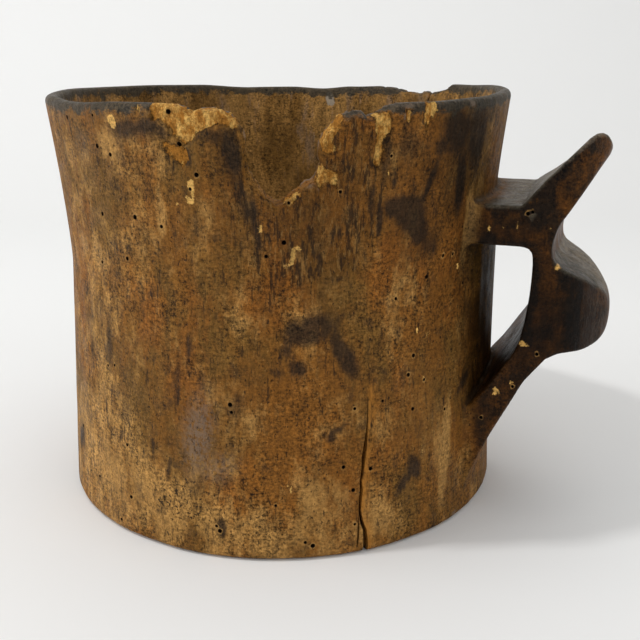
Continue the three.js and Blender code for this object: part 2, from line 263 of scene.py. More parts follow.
def colour_property(name, description, default):
    """A linear colour that a user can change."""
    return FloatVectorProperty(name=name, description=description, default=default, size=3, subtype="COLOR",
                               min=0, max=1)


class MugColours(bpy.types.PropertyGroup):
    """Colours of the wood, the dirt and the pitch."""

    brown: colour_property("Old brown", "Most of the wall", (0.195, 0.077, 0.0125))
    tan: colour_property("Tan", "Where the skin is rubbed thin", (0.37, 0.20, 0.058))
    russet: colour_property("Russet", "Warm patches and the handle", (0.20, 0.071, 0.0105))
    olive: colour_property("Olive", "Dull greenish patches", (0.135, 0.067, 0.014))
    # Dark also serves as painted shade in hollows, inside the check and inside the flight holes.
    dark: colour_property("Dark", "Stains and handled places", (0.022, 0.013, 0.007))
    fresh: colour_property("Fresh wood", "New breaks", (0.84, 0.49, 0.135))
    fresh_deep: colour_property("Orange wood", "The lower parts of new breaks", (0.42, 0.175, 0.028))
    scuff: colour_property("Scuff", "Grey worn skin", (0.20, 0.145, 0.105))
    # Grease with a painted sheen: lighter grey laid on the handle's upper faces and on the rim band.
    grease_and_sheen: colour_property("Grease", "Upper faces of the handle", (0.17, 0.145, 0.10))
    crust: colour_property("Crust", "Pale marks on the lining", (0.34, 0.30, 0.24))
    pitch: colour_property("Pitch", "The bead round the board", (0.02, 0.013, 0.009))


class StageSettings(bpy.types.PropertyGroup):
    """The camera and the lights."""

    lens: FloatProperty(name="Lens", description="Focal length in millimetres", default=49.8)
    key: FloatProperty(name="Key light", description="Watts", default=3.2)
    window: FloatProperty(name="Window light", description="Watts", default=8.5)
    top: FloatProperty(name="Top light", description="Watts", default=2.2)
    fill: FloatProperty(name="Fill light", description="Watts", default=2.0)
    sky: FloatProperty(name="Room light", description="Strength", default=0.55)


# Shapes as signed distances in metres, negative inside the wood.


def round_cut(a, b, radius):
    """Where two shapes overlap, with a rounded arris."""
    corner = np.hypot(np.maximum(a + radius, 0), np.maximum(b + radius, 0))
    return np.minimum(np.maximum(a, b), -radius) + corner


def round_join(a, b, radius):
    """Two shapes together, with a hollow fillet between them."""
    corner = np.hypot(np.maximum(radius - a, 0), np.maximum(radius - b, 0))
    return np.maximum(np.minimum(a, b), radius) - corner


def outline_distance(x, y, outline):
    """Distance to a closed outline in a plane, negative inside it."""
    nearest = np.full(x.shape, np.inf)
    inside = np.zeros(x.shape, bool)
    for (ax, ay), (bx, by) in zip(outline, np.roll(outline, -1, axis=0)):
        ex, ey = bx - ax, by - ay
        px, py = x - ax, y - ay
        share = np.clip((px * ex + py * ey) / max(ex * ex + ey * ey, 1e-18), 0, 1)
        nearest = np.minimum(nearest, (px - share * ex) ** 2 + (py - share * ey) ** 2)
        crosses = (ay > y) != (by > y)
        if ey != 0:
            inside ^= crosses & (x < ax + (y - ay) * ex / ey)
    return np.where(inside, -1, 1) * np.sqrt(nearest)


def ripple(points, size, seed):
    """Smooth random values between -1 and 1; size is a ripple's length along x, y and z."""
    table = np.random.default_rng(seed).uniform(-1, 1, 32**3)
    at = points / np.asarray(size)
    low = np.floor(at).astype(int)
    part = at - low
    part = part * part * (3 - 2 * part)
    weights = [(1 - share, share) for share in part.T]
    indices = [((step & 31) * scale, ((step + 1) & 31) * scale) for step, scale in zip(low.T, (1024, 32, 1))]
    total = np.zeros(len(points))
    for a, b, c in itertools.product((0, 1), repeat=3):
        value = table[indices[0][a] + indices[1][b] + indices[2][c]]
        total += weights[0][a] * weights[1][b] * weights[2][c] * value
    return total


def smooth_run(points, steps=5):
    """A curve through the points, as the points of a Catmull-Rom spline."""
    points = np.asarray(points, float)
    padded = np.vstack([2 * points[0] - points[1], points, 2 * points[-1] - points[-2]])
    run = [points[0]]
    for before, start, end, after in zip(padded, padded[1:], padded[2:], padded[3:]):
        for t in np.linspace(0, 1, steps + 1)[1:]:
            square = (2 * before - 5 * start + 4 * end - after) * t**2
            cube = (3 * start - before - 3 * end + after) * t**3
            run.append(0.5 * (2 * start + (end - before) * t + square + cube))
    return np.array(run)


def handle_side():
    """The handle's side outline, [distance from the bowl's axis, height], in metres."""
    corner = [(58, 108.9), (89, 108.9)]
    rest = smooth_run([(91.4, 111.3), (98.4, 118.7), (104, 124.7), (107.6, 128.6)])
    tip = smooth_run([(109.4, 129.9), (111.3, 130.2), (113, 129.1), (113.9, 126.4), (113.3, 123.4)])
    neck = smooth_run([(109.3, 116.2), (106.3, 111), (103.1, 105.6), (101.3, 102.9), (99.9, 99), (99.3, 95),
                       (99.7, 91.6), (101, 89.6)])
    lobe = smooth_run([(103.2, 88.2), (106.3, 86.5), (110.2, 84), (113.2, 81.4), (115.6, 78.6),
                       (117.3, 75.3), (118, 71), (117.6, 66.4), (116.2, 63.2), (113.6, 61.4), (110, 60.9),
                       (106, 60.8), (102.8, 60.1), (99.6, 58.2)])
    strap = smooth_run([(95.9, 53.4), (92.9, 49.1), (89.2, 41.3), (85.8, 34.4), (82, 26.3), (77.4, 15),
                        (73, 6)])
    return np.vstack([corner, rest, tip, neck, lobe, strap, [(58, 6)]]) * MM


def finger_gap():
    """The gap behind the handle, in the same plane as handle_side."""
    top = smooth_run([(86, 95), (90.6, 94.8), (92.8, 93.4), (93.5, 90.6), (93.6, 86), (93.3, 79),
                      (92.3, 70.5), (91.1, 63.9), (89, 58.4), (86, 53.6), (80.9, 45.7), (76.9, 40.6),
                      (74.1, 36)])
    return np.vstack([[(66, 95)], top, [(66, 25)]]) * MM


def handle_plan():
    """The handle seen from above: full width at the bowl, rounded off at its end."""
    side = smooth_run([(58, 24), (80, 23.4), (95, 23), (104, 22), (109.8, 18), (114.4, 10.6), (117.2, 4.6),
                       (118, 0)])
    return np.vstack([side, (side * (1, -1))[-2::-1]]) * MM


def web_plan():
    """Between the arm and the strap the wall stands a little proud; this is seen from above."""
    side = [(60, -22), (73, -20.5), (76.2, -14.5), (77.5, -7), (77.9, 1), (77.7, 8), (76.6, 15), (73.5, 21),
            (60, 22)]
    return np.array(side) * MM


def ease(value, low, high):
    """Rises smoothly from 0 to 1 as the value goes from low to high."""
    share = np.clip((value - low) / (high - low), 0, 1)
    return share * share * (3 - 2 * share)


class Carving:
    """The carved body as a signed distance, for points given from the bowl's axis."""

    def __init__(self, sizes, wear):
        self.sizes = sizes
        self.wear = wear
        self.side = handle_side()
        self.gap = finger_gap()
        self.plan = handle_plan()
        self.web = web_plan()
        self.front_break = self.on_wall(FRONT_BREAK)
        self.rear_chips = self.on_wall(REAR_CHIPS)
        self.patches = [self.on_wall(patch) for patch in FRESH_PATCHES]
        self.groove = self.groove_outline()

    def on_wall(self, outline):
        """Degrees and millimetres turned to metres round and up the wall."""
        return np.array(outline, float) * (radians(1) * self.sizes.rim_radius, MM)

    def outer(self, z):
        """Outside radius of the wall."""
        s = self.sizes
        above = np.clip((z - s.waist_height) / (s.height - s.waist_height), 0, 1.3)
        below = np.clip(1 - z / s.waist_height, 0, 1.1)
        flare = (s.rim_radius - s.waist_radius) * above**1.4
        return s.waist_radius + flare + (s.foot_radius - s.waist_radius) * below

    def inner(self, z):
        """Inside radius of the wall."""
        s = self.sizes
        share = np.clip(z / s.height, 0, 1.1)
        return self.outer(z) - (s.foot_wall + (s.rim_wall - s.foot_wall) * share)

    def rim(self, angle):
        """Height of the rim, which dips and rises as the log dried."""
        degrees = np.mod(np.degrees(angle) + 172, 360) - 172
        at, rise = np.array(RIM_RISES).T
        step = np.clip(np.searchsorted(at, degrees, side="right") - 1, 0, len(at) - 2)
        share = (degrees - at[step]) / (at[step + 1] - at[step])
        wave = rise[step] + (rise[step + 1] - rise[step]) * share * share * (3 - 2 * share)
        return self.sizes.height + (wave + 0.15 * np.sin(7 * angle + 1)) * MM

    def groove_outline(self):
        """The board's groove, [radius, height]: the board's outline and a little more all round."""
        gap = self.sizes.groove_gap
        lip = BOARD_RADIUS + gap
        body = lip - BOARD_BEVEL
        clear = body - 20 * MM
        half = BOARD_THICK / 2 + gap
        lip_half = BOARD_EDGE / 2 + gap
        lower = [(clear, -half), (body, -half), (lip, -lip_half)]
        upper = [(radius, -up) for radius, up in reversed(lower)]
        return np.array(lower + upper) + (0, BOARD_MIDDLE)

    def handle(self, points):
        """The handle alone, filled in towards the bowl."""
        x, y, z = points.T
        tilt = (1 - ease(x, 89 * MM, 96 * MM)) * ease(z, 95 * MM, 107 * MM)
        droop = 0.12 * (y + 16 * MM) * ease(z, 110 * MM, 128 * MM)
        side = outline_distance(x, z - 0.055 * y * tilt + np.maximum(droop, 0), self.side)
        skew = 1 - ease(z, 65 * MM, 83 * MM)
        across = y / self.sizes.handle_width + 0.5
        gap = outline_distance(x, z - 6 * MM * across * skew, self.gap)
        plan = outline_distance(x, y, self.plan)
        grip = round_cut(round_cut(side, plan, 0.9 * MM), -gap, 0.9 * MM)
        web = np.maximum(outline_distance(x, y, self.web), np.abs(z - WEB_MIDDLE) - WEB_HALF)
        return round_join(grip, web, 1.5 * MM)

    def breaks(self, points, around, z, depth):
        """What is missing from the rim: negative where the wood has gone."""
        wear = self.wear
        tear = wear.raggedness * (0.7 * ripple(points, (2.2 * MM, 2.2 * MM, 7 * MM), wear.seed)
                                  + 0.4 * ripple(points, (0.9 * MM, 0.9 * MM, 3 * MM), wear.seed + 1))
        lean = 0.35 * (depth - 2 * MM)
        front = outline_distance(around, z, self.front_break) + tear + lean
        rear = outline_distance(around, z, self.rear_chips) + 0.5 * tear
        return np.minimum(front, rear)

    def flakes(self, points, around, z, depth):
        """Thin flakes lost from the outer skin beside the new breaks."""
        wear = self.wear
        rough = ripple(points, (1.3 * MM, 1.3 * MM, 2.6 * MM), wear.seed + 2)
        edge = np.min([outline_distance(around, z, patch) for patch in self.patches], axis=0)
        return np.maximum(edge + 0.5 * MM * rough, depth - (0.75 + 0.3 * rough) * MM)

    def distance(self, points):
        """Distance to the carved surface."""
        s = self.sizes
        wear = self.wear
        x, y, z = points.T
        radius = np.hypot(x, y)
        angle = np.arctan2(y, x)
        around = angle * s.rim_radius
        hand = wear.hand_marks * ripple(points, (17 * MM, 17 * MM, 34 * MM), wear.seed + 3)
        hand += 0.25 * wear.hand_marks * ripple(points, (4 * MM, 4 * MM, 9 * MM), wear.seed + 4)
        outside = radius - self.outer(z) + hand
        log = round_cut(outside, z - self.rim(angle), 2.2 * MM)
        log = round_cut(log, -z, 2.4 * MM)
        reach = x > s.waist_radius - 22 * MM
        body = log.copy()
        body[reach] = round_join(log[reach], self.handle(points[reach]) + 0.5 * hand[reach], 2.2 * MM)
        gouge = wear.gouge_marks * ripple(points, (9 * MM, 9 * MM, 40 * MM), wear.seed + 5)
        body = round_cut(body, self.inner(z) + gouge - radius, 1.3 * MM)
        low = z < BOARD_HIGH.z + 8 * MM
        body[low] = np.maximum(body[low], -outline_distance(radius[low], z[low], self.groove))
        depth = self.outer(z) - radius
        high = (z > 104 * MM) & (x < 75 * MM)
        missing = self.breaks(points[high], around[high], z[high], depth[high])
        body[high] = round_cut(body[high], -missing, 0.35 * MM)
        skin = high & (y < 0) & (depth < 3 * MM)
        lost = self.flakes(points[skin], around[skin], z[skin], depth[skin])
        body[skin] = np.maximum(body[skin], -lost)
        return body


def sample(distance, low, high, step, block=4):
    """Distances on a fine grid, worked out only near the surface; elsewhere the coarse value stands."""
    counts = np.ceil((high - low) / (step * block)).astype(int)
    middles = [np.arange(n) * block + (block - 1) / 2 for n in counts]
    centres = np.stack(np.meshgrid(*middles, indexing="ij"), -1)
    coarse = distance(low + step * centres.reshape(-1, 3)).reshape(counts)
    field = np.kron(coarse, np.ones((block,) * 3))
    near = np.kron(np.abs(coarse) < 1.15 * block * step, np.ones((block,) * 3)).astype(bool)
    for part in np.array_split(np.argwhere(near), 8):
        field[tuple(part.T)] = distance(low + step * part)
    return field


def part_corners(field):
    """Opens the places where wood would meet wood only along an edge, so that the skin stays closed."""
    for first, second in ((0, 1), (1, 2), (0, 2)):
        near = np.moveaxis(field, (first, second), (0, 1))
        inside = near < 0
        a, b, c, d = inside[:-1, :-1], inside[1:, :-1], inside[1:, 1:], inside[:-1, 1:]
        near[:-1, :-1][a & c & ~b & ~d] = 0.01 * MM
        near[1:, :-1][b & d & ~a & ~c] = 0.01 * MM
    return field


def skin_mesh(field, low, step):
    """Points and quads where the field crosses zero, one point for each crossed cell."""
    inside = field < 0
    corners = list(itertools.product((0, 1), repeat=3))
    shape = np.array(field.shape) - 1
    held = sum(inside[a:a + shape[0], b:b + shape[1], c:c + shape[2]].astype(np.int8) for a, b, c in corners)
    crossed = (held > 0) & (held < 8)
    cells = np.argwhere(crossed)
    number = np.full(crossed.shape, -1)
    number[crossed] = np.arange(len(cells))
    total = np.zeros((len(cells), 3))
    hits = np.zeros(len(cells))
    for axis, first, second in itertools.product(range(3), (0, 1), (0, 1)):
        start = np.insert([first, second], axis, 0)
        end = np.insert([first, second], axis, 1)
        a = field[tuple((cells + start).T)]
        b = field[tuple((cells + end).T)]
        cut = (a < 0) != (b < 0)
        at = (cells + start)[cut].astype(float)
        at[:, axis] += a[cut] / (a[cut] - b[cut])
        total[cut] += at
        hits[cut] += 1
    points = low + step * total / hits[:, None]
    quads = []
    for axis in range(3):
        u, v = np.eye(3, dtype=int)[[(axis + 1) % 3, (axis + 2) % 3]]
        one = np.moveaxis(inside, axis, 0)
        change = np.argwhere(one[:-1] != one[1:])
        change = np.insert(change[:, 1:], axis, change[:, 0], axis=1)
        change = change[np.all(change >= u + v, axis=1)]
        ring = np.stack([number[tuple((change - back).T)] for back in (u + v, v, 0 * u, u)], 1)
        leaving = inside[tuple(change.T)]
        quads.append(np.where(leaving[:, None], ring, ring[:, ::-1]))
    return points, np.vstack(quads)


def settle(points, distance, rounds=2):
    """Slides points on to the surface along the distance's slope."""
    reach = 0.05 * MM
    for _ in range(rounds):
        here = distance(points)
        slope = np.stack([(distance(points + reach * axis) - here) / reach for axis in np.eye(3)], 1)
        move = here / np.maximum((slope**2).sum(1), 0.25)
        points = points - slope * np.clip(move, -0.5 * MM, 0.5 * MM)[:, None]
    return points


def mesh_object(name, points, faces):
    """A new object at the origin, with its place in its mesh."""
    mesh = bpy.data.meshes.new(name)
    mesh.from_pydata(np.asarray(points).tolist(), [], np.asarray(faces).tolist())
    obj = bpy.data.objects.new(name, mesh)
    bpy.context.scene.collection.objects.link(obj)
    return obj


def bake_modifiers(obj):
    """Turns an object's modifiers into plain mesh."""
    bpy.context.view_layer.update()
    result = bpy.data.meshes.new_from_object(obj.evaluated_get(bpy.context.evaluated_depsgraph_get()))
    result.name = obj.name
    obj.modifiers.clear()
    obj.data = result


def crack_wedge(name, course):
    """A cutter that follows a check up the wall; it is thin and stands radially."""
    rows = []
    for left, right, z in course:
        for turn in (radians(left), radians(right)):
            for radius in CHECK_CUT:
                rows.append((radius * cos(turn), radius * sin(turn), z * MM))
    faces = []
    for i in range(len(course) - 1):
        a, b = 4 * i, 4 * i + 4
        faces += [(a, a + 1, b + 1, b), (a + 2, b + 2, b + 3, a + 3)]
        faces += [(a + 1, a + 3, b + 3, b + 1), (a, b, b + 2, a + 2)]
    end = len(rows) - 4
    faces += [(0, 2, 3, 1), (end, end + 1, end + 3, end + 2)]
    return mesh_object(name, rows, faces)


def subtract(obj, cutter):
    """Cuts one closed mesh from another."""
    cut = obj.modifiers.new("cut", "BOOLEAN")
    cut.operation = "DIFFERENCE"
    cut.solver = "MANIFOLD"
    cut.object = cutter
    bake_modifiers(obj)
    bpy.data.objects.remove(cutter)


def hole_places(carving):
    """Flight holes as [place, way out, radius]: those listed, then scattered ones on the far side."""
    wear = carving.wear
    rng = np.random.default_rng(wear.seed)
    spots = [(radians(a), z * MM) for a, z in WALL_HOLES]
    for _ in range(wear.more_holes):
        turn = radians(rng.uniform(*FAR_HOLES[0]))
        lowest, highest = FAR_HOLES[1]
        spots.append((turn, rng.beta(1.2, 1.2) * (highest - lowest) * MM + lowest * MM))
    places = []
    for angle, z in spots:
        out = np.array([cos(angle), sin(angle), rng.normal(0, 0.15)])
        radius = carving.outer(z)
        places.append((np.array([radius * cos(angle), radius * sin(angle), z]), out / np.linalg.norm(out)))
    half = carving.sizes.handle_width / 2
    for x, z in HANDLE_HOLES:
        places.append((np.array([x * MM, -half, z * MM]), np.array([0.0, -1.0, 0.0])))
    widths = wear.hole_radius * rng.uniform(0.75, 1.3, len(places))
    return [(place, out, width) for (place, out), width in zip(places, widths)]


class Nodes:
    """What the builders of both kinds of node tree share."""

    def fill(self, socket, value):
        """Links another node's output, or sets a plain value."""
        if isinstance(value, bpy.types.NodeSocket):
            self.tree.links.new(value, socket)
        else:
            socket.default_value = value

    def node(self, kind, values=None, **settings):
        """Adds a node, sets its options and fills its inputs by name or number."""
        node = self.tree.nodes.new(kind)
        for key, value in settings.items():
            setattr(node, key, value)
        for key, value in (values or {}).items():
            self.fill(node.inputs[key], value)
        return node.outputs

    def math(self, operation, *values):
        """One step of arithmetic."""
        return self.node("ShaderNodeMath", dict(enumerate(values)), operation=operation)[0]

    def plus(self, a, b):
        """The sum of two values."""
        return self.math("ADD", a, b)

    def minus(self, a, b):
        """The first value less the second."""
        return self.math("SUBTRACT", a, b)

    def times(self, a, b):
        """The product of two values."""
        return self.math("MULTIPLY", a, b)


class Rule(Nodes):
    """Builds one Geometry Nodes tree with named inputs, ending in Realize Instances and Set Material."""

    def __init__(self, name, inputs):
        self.tree = bpy.data.node_groups.new(name, "GeometryNodeTree")
        sockets = self.tree.interface
        sockets.new_socket("Geometry", in_out="INPUT", socket_type="NodeSocketGeometry")
        for label, kind in inputs.items():
            sockets.new_socket(label, in_out="INPUT", socket_type="NodeSocket" + kind)
        sockets.new_socket("Finish", in_out="INPUT", socket_type="NodeSocketMaterial")
        sockets.new_socket("Geometry", in_out="OUTPUT", socket_type="NodeSocketGeometry")
        self.given = self.tree.nodes.new("NodeGroupInput").outputs

    def close(self, geometry):
        """Makes the geometry real, gives it its material and ends the tree."""
        real = self.node("GeometryNodeRealizeInstances", {0: geometry})[0]
        dressed = self.node("GeometryNodeSetMaterial", {0: real, "Material": self.given["Finish"]})[0]
        end = self.tree.nodes.new("NodeGroupOutput")
        self.tree.links.new(dressed, end.inputs["Geometry"])
        return self.tree

    def grow(self, obj, values):
        """Runs the tree on an object and keeps the result as plain mesh."""
        modifier = obj.modifiers.new(self.tree.name, "NODES")
        modifier.node_group = self.tree
        items = self.tree.interface.items_tree
        sockets = {item.name: item.identifier for item in items if item.in_out == "INPUT"}
        for label, value in values.items():
            modifier[sockets[label]] = value
        bake_modifiers(obj)


def bore_rule():
    """Short round cutters, one for each point, along the point's way out."""
    rule = Rule("flight_holes", {"Depth": "Float", "Sides": "Int"})
    drill = rule.node("GeometryNodeMeshCylinder", {"Vertices": rule.given["Sides"], "Radius": 1.0,
                                                   "Depth": 1.0})[0]
    way = rule.node("GeometryNodeInputNamedAttribute", {"Name": "way_out"}, data_type="FLOAT_VECTOR")[0]
    width = rule.node("GeometryNodeInputNamedAttribute", {"Name": "width"}, data_type="FLOAT")[0]
    turn = rule.node("FunctionNodeAlignRotationToVector", {"Vector": way}, axis="Z")[0]
    size = rule.node("ShaderNodeCombineXYZ", {0: width, 1: width, 2: rule.given["Depth"]})[0]
    drills = rule.node("GeometryNodeInstanceOnPoints", {"Points": rule.given["Geometry"], "Instance": drill,
                                                        "Rotation": turn, "Scale": size})[0]
    rule.close(drills)
    return rule


def flight_hole_cutter(places, depth, finish):
    """All the flight holes as one cutter. Each runs from the given depth to as far outside the skin."""
    cutter = mesh_object("flight_hole_cutter", [place for place, _, _ in places], [])
    ways = cutter.data.attributes.new("way_out", "FLOAT_VECTOR", "POINT")
    ways.data.foreach_set("vector", np.ravel([way for _, way, _ in places]))
    widths = cutter.data.attributes.new("width", "FLOAT", "POINT")
    widths.data.foreach_set("value", [width for _, _, width in places])
    bore_rule().grow(cutter, {"Depth": 2 * depth, "Sides": 10, "Finish": finish})
    return cutter


class Finish(Nodes):
    """Builds one node material from the object's own coordinates and its painted fields."""

    def __init__(self, name):
        self.material = bpy.data.materials.new(name)
        self.material.use_nodes = True
        self.tree = self.material.node_tree
        self.shader = self.tree.nodes["Principled BSDF"]
        self.place = self.node("ShaderNodeTexCoord")["Object"]

    def noise(self, size, stretch=1.0, detail=4.0, roughness=0.55, shift=0.0):
        """Soft noise; size is a blot's width in metres, and stretch how many times taller it is."""
        scale = (1 / size, 1 / size, 1 / (size * stretch))
        moved = (shift, 2 * shift, 3 * shift)
        where = self.node("ShaderNodeMapping", {"Vector": self.place, "Location": moved, "Scale": scale})[0]
        return self.node("ShaderNodeTexNoise", {"Vector": where, "Scale": 1.0, "Detail": detail,
                                                "Roughness": roughness})[0]

    def between(self, value, low, high, top=1.0):
        """Rises smoothly from 0 to top as the value goes from low to high."""
        values = {"Value": value, "From Min": low, "From Max": high, "To Max": top}
        return self.node("ShaderNodeMapRange", values, interpolation_type="SMOOTHSTEP")[0]

    def field(self, name):
        """A value painted on the mesh."""
        return self.node("ShaderNodeAttribute", attribute_name=name)["Fac"]

    def raised(self, value, name, amount):
        """A value made higher where a painted one is strong."""
        return self.plus(value, self.times(self.field(name), amount))

    def swing(self, value, amount):
        """Noise about one half, turned to noise about zero."""
        return self.times(self.minus(value, 0.5), amount)

    def mix(self, share, a, b):
        """One colour over another."""
        return self.node("ShaderNodeMix", {0: share, 6: full(a), 7: full(b)}, data_type="RGBA")[2]

    def shade(self, colour, factor):
        """A colour made darker or lighter by a grey factor."""
        return self.node("ShaderNodeMix", {0: 1.0, 6: full(colour), 7: factor}, data_type="RGBA",
                         blend_type="MULTIPLY")[2]

    def bump(self, height, depth, normal=None):
        """Small relief; depth is its height in metres."""
        values = {"Height": height, "Distance": depth, "Strength": 1.0}
        if normal is not None:
            values["Normal"] = normal
        return self.node("ShaderNodeBump", values)[0]

    def close(self, colour, roughness, normal):
        """Gives the shader what was built."""
        self.fill(self.shader.inputs["Base Color"], full(colour))
        self.fill(self.shader.inputs["Roughness"], roughness)
        self.fill(self.shader.inputs["Normal"], normal)
        return self.material


def full(colour):
    """A colour with its alpha, unless it comes from another node."""
    return colour if isinstance(colour, bpy.types.NodeSocket) else (*colour, 1.0)


def carved_wood(colours):
    """Old oiled wood: upright grain, patches of colour, stains, worn arrises, new breaks, flight holes, with
    painted shade, painted highlights and a painted sheen.
    """
    f = Finish("carved_wood")
    inside, polish, rim, bend = f.field("inside"), f.field("polish"), f.field("rim"), f.field("bend")
    eaten, crack = f.field("eaten"), f.field("crack")

    # Broad patches of colour with ragged borders.
    olive = f.between(f.noise(26 * MM, 2.4, 9, 0.72), 0.38, 0.62)
    colour = f.mix(olive, colours.olive, colours.brown)
    warm = f.raised(f.noise(20 * MM, 2, 9, 0.72, shift=3.1), "red", 0.2)
    colour = f.mix(f.between(warm, 0.5, 0.68, 0.8), colour, colours.russet)
    thin = f.raised(f.noise(10 * MM, 1.9, 9, 0.74, shift=7.7), "pale", 0.26)
    colour = f.mix(f.between(thin, 0.50, 0.72, 0.85), colour, colours.tan)

    # Grain, fibres and specks.
    grain = f.noise(2.2 * MM, 3.4, 5, 0.72)
    fibre = f.noise(0.6 * MM, 9, 3, 0.6, shift=6.4)
    speck = f.noise(0.9 * MM, 1.0, 4, 0.75, shift=1.3)
    fleck = f.noise(3.0 * MM, 0.3, 5, 0.72, shift=4.4)
    tone = f.plus(f.between(grain, 0.3, 0.7, 0.5), f.between(speck, 0.34, 0.66, 0.9))
    tone = f.plus(tone, f.between(fibre, 0.3, 0.7, 0.14))
    tone = f.plus(tone, f.between(fleck, 0.34, 0.66, 0.5))
    rough = f.between(f.noise(17 * MM, 1.4, 5, 0.6, shift=2.6), 0.36, 0.64, 0.75)
    tone = f.times(f.minus(tone, 1.0), f.plus(rough, 0.62))
    tone = f.plus(tone, 1.0)
    colour = f.shade(colour, tone)

    # Dirt worked into the skin, dark dashes and pale nicks.
    blot = f.between(f.noise(6 * MM, 1.3, 9, 0.76, shift=9.2), 0.52, 0.68, 0.6)
    colour = f.mix(blot, colour, f.shade(colours.dark, f.plus(tone, 0.6)))
    dash = f.between(f.noise(0.9 * MM, 1.8, 3, 0.6, shift=5.5), 0.63, 0.69, 0.8)
    colour = f.mix(dash, colour, colours.dark)
    nick = f.between(f.noise(0.9 * MM, 1.4, 4, 0.7, shift=8.3), 0.63, 0.70, 0.8)
    colour = f.mix(nick, colour, colours.tan)

    # Where the skin is eaten away, the soft wood has gone from between dark upright fibres.
    streak = f.raised(f.noise(1.6 * MM, 6, 8, 0.72, shift=2.2), "eaten", 0.085)
    streak = f.plus(streak, f.swing(f.noise(9 * MM, 2, 3, shift=5.8), 0.25))
    colour = f.mix(f.between(streak, 0.57, 0.68, 0.82), colour, colours.dark)
    left = f.times(eaten, f.between(f.noise(0.9 * MM, 4, 5, 0.7, shift=6.1), 0.56, 0.64, 0.55))
    colour = f.mix(left, colour, colours.tan)
    pitting = f.raised(f.noise(1.3 * MM, 1.0, 3, 0.6, shift=8.8), "pits", 0.12)
    pits = f.between(pitting, 0.71, 0.75)
    colour = f.mix(f.times(pits, 0.9), colour, colours.dark)

    # Stains, each with a ragged edge, and scuffs.
    ragged = f.minus(f.noise(5 * MM, 1.5, 10, 0.78, shift=0.6), 0.5)
    soaked = f.times(f.between(f.field("stain"), 0, 0.3), f.times(ragged, 1.3))
    stain = f.between(f.plus(f.field("stain"), soaked), 0.08, 0.72, 0.88)
    colour = f.mix(stain, colour, f.shade(colours.dark, f.times(tone, 1.3)))
    scuff = f.times(f.field("scuff"), f.between(f.noise(1.2 * MM, 1.2, 6, 0.72, shift=1.9), 0.36, 0.56))
    colour = f.mix(f.times(scuff, 0.7), colour, colours.scuff)

    # The handle, the inside, the rim, and grime with painted shade on the wall beside the handle.
    dirty = f.raised(f.noise(7 * MM, 1.3, 9, 0.74, shift=3.7), "stain", 0.4)
    handled = f.shade(colours.russet, f.times(tone, 0.55))
    handled = f.mix(f.between(dirty, 0.40, 0.66, 0.95), handled, f.shade(colours.dark, f.plus(tone, -0.2)))
    dust = f.between(f.noise(3 * MM, 1.2, 9, 0.8, shift=7.3), 0.53, 0.66, 0.5)
    handled = f.mix(dust, handled, colours.brown)
    # Painted sheen with grease: upward faces of the handle turn lighter grey, as light from above would make
    # them.
    handled = f.mix(f.times(f.field("top"), 0.8), handled, f.shade(colours.grease_and_sheen, tone))
    colour = f.mix(f.times(f.between(polish, 0.1, 0.7), 0.94), colour, handled)
    lining = f.between(f.noise(16 * MM, 2.6, 8, 0.7, shift=2.9), 0.36, 0.64)
    lining = f.mix(lining, colours.olive, colours.tan)
    lining = f.mix(f.between(f.noise(8 * MM, 4, 7, 0.7, shift=4.3), 0.52, 0.66, 0.6), lining, colours.scuff)
    colour = f.mix(f.times(inside, 0.85), colour, f.shade(lining, f.times(tone, 0.95)))
    crust = f.between(f.plus(f.field("blot"), f.swing(speck, 0.6)), 0.4, 0.6)
    colour = f.mix(f.times(crust, 0.8), colour, colours.crust)
    # A dark band round the rim, in grease with a painted grey sheen.
    ragged_lip = f.minus(f.noise(6 * MM, 0.8, 10, 0.76, shift=5.9), 0.5)
    ragged_lip = f.times(ragged_lip, f.between(rim, 0, 0.2, 2.6))
    lip = f.between(f.plus(rim, ragged_lip), 0.42, 0.7, 0.92)
    greasy_sheen = f.shade(colours.grease_and_sheen, f.plus(f.times(tone, 0.2), 0.07))
    colour = f.mix(lip, colour, greasy_sheen)
    # Painted shade and grime: the colour is multiplied darker where these spots lie.
    grime_and_shade = f.times(f.field("grime_and_shade"), f.between(f.noise(11 * MM, 1.5, 8, 0.7, shift=0.9), 0.2, 0.55, 0.84))
    colour = f.shade(colour, f.minus(1.0, grime_and_shade))
    # Arrises turn lighter grey, worn and with a painted highlight; hollows turn darker, with dirt and
    # painted shade.
    wear = f.plus(bend, f.swing(speck, 0.8))
    colour = f.mix(f.between(wear, 0.5, 1.1, 0.5), colour, colours.scuff)
    colour = f.mix(f.between(f.times(bend, -1.0), 0.15, 0.6, 0.75), colour, colours.dark)
    chip = f.between(f.plus(f.field("chip"), f.swing(speck, 0.9)), 0.42, 0.6, 0.85)
    colour = f.mix(chip, colour, f.shade(colours.fresh, f.times(tone, 0.75)))

    # The check: black inside as painted shade, with a paler lip along one side.
    colour = f.mix(f.times(f.field("lip"), f.between(grain, 0.35, 0.6, 0.8)), colour, colours.fresh_deep)
    colour = f.mix(f.between(f.plus(crack, f.times(ragged, 0.6)), 0.3, 0.7, 0.95), colour, colours.dark)

    # New breaks, brightest where they are newest.
    torn = f.swing(f.noise(1.8 * MM, 1.6, 6, 0.7, shift=8.1), 4.2)
    fresh = f.between(f.plus(f.field("fresh"), torn), 0.1, 0.5)
    deep = f.between(f.minus(f.noise(2.6 * MM, 2.5, 6, 0.7, shift=4.9), f.field("age")), 0.42, 0.62)
    new_wood = f.mix(deep, colours.fresh_deep, colours.fresh)
    vein = f.between(f.noise(1.3 * MM, 1.4, 5, 0.72, shift=5.2), 0.52, 0.66, 0.6)
    new_wood = f.mix(vein, new_wood, colours.fresh_deep)
    new_wood = f.shade(new_wood, f.plus(f.between(speck, 0.3, 0.7, 0.75), 0.5))
    colour = f.mix(fresh, colour, new_wood)

